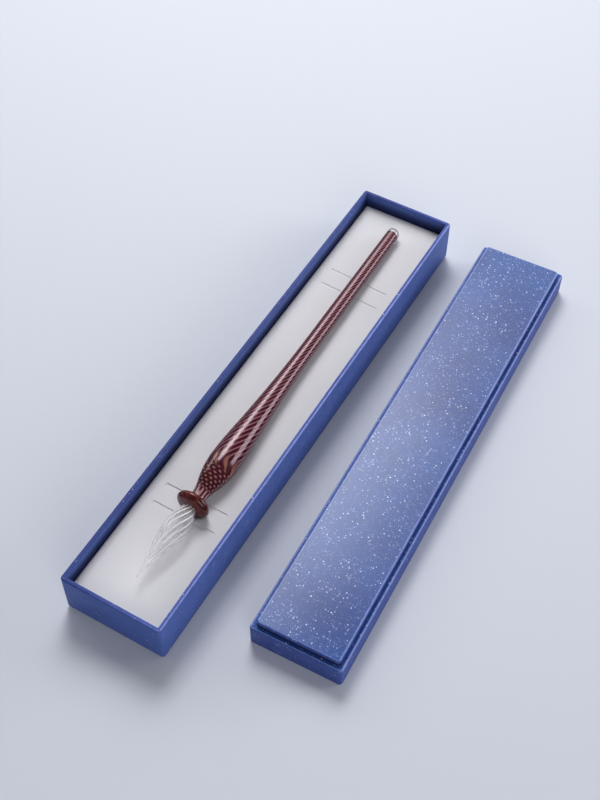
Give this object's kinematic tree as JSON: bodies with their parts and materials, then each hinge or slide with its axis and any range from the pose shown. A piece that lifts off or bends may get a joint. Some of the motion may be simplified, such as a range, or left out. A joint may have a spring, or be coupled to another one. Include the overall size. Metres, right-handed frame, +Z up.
{
  "type": "glass dip pen in a lidded paper-covered case",
  "caption": "Twisted-nib glass dip pen with a swelling patterned barrel, lying on a slit pad in a narrow blue paper-covered board tray, with its stepped lid set down beside it.",
  "frame": {"origin": "centre of the tray's underside, on the surface that the tray and the lid both lie on", "axes": "+Y along the tray from the nib's end to the pen's tail, +Z up, +X across the tray towards the lid"},
  "size_m": [0.0913, 0.2103, 0.0225],
  "materials": {
    "covering_paper": "matt blue paper with pale flecks",
    "base_paper": "plain matt",
    "lining_paper": "plain matt",
    "gummed_tape": "gummed kraft",
    "greyboard": "raw greyboard",
    "foam": "soft open foam",
    "flock": "short pale grey flock",
    "clear_glass": "polished clear",
    "cane_glass": "dark red with pale twisted threads under clear glass",
    "red_glass": "polished translucent red-brown"
  },
  "bodies": {
    "tray": {"insert_facing": "flock", "insert_foam": "foam", "tray_base_board": "greyboard", "tray_base_sheet": "base_paper", "tray_stay_1": "gummed_tape", "tray_stay_2": "gummed_tape", "tray_stay_3": "gummed_tape", "tray_stay_4": "gummed_tape", "tray_wall_far": "greyboard", "tray_wall_left": "greyboard", "tray_wall_near": "greyboard", "tray_wall_right": "greyboard", "tray_wrap": "covering_paper"},
    "pen": {"pen_barrel": "cane_glass", "pen_collar": "red_glass", "pen_nib": "clear_glass", "pen_tail": "clear_glass"},
    "lid": {"lid_band_far": "greyboard", "lid_band_left": "greyboard", "lid_band_near": "greyboard", "lid_band_right": "greyboard", "lid_lining": "lining_paper", "lid_stay_1": "gummed_tape", "lid_stay_2": "gummed_tape", "lid_stay_3": "gummed_tape", "lid_stay_4": "gummed_tape", "lid_top_board": "greyboard", "lid_wall_far": "greyboard", "lid_wall_left": "greyboard", "lid_wall_near": "greyboard", "lid_wall_right": "greyboard", "lid_wrap": "covering_paper"}
  },
  "joints": [
    {"name": "pen_lift", "type": "slide", "parent": "tray", "child": "pen", "axis": [0, 0, 1], "range_m": [0, 0.03]},
    {"name": "lid_lift", "type": "slide", "parent": "tray", "child": "lid", "axis": [0, 0, 1], "range_m": [0, 0.03]}
  ]
}
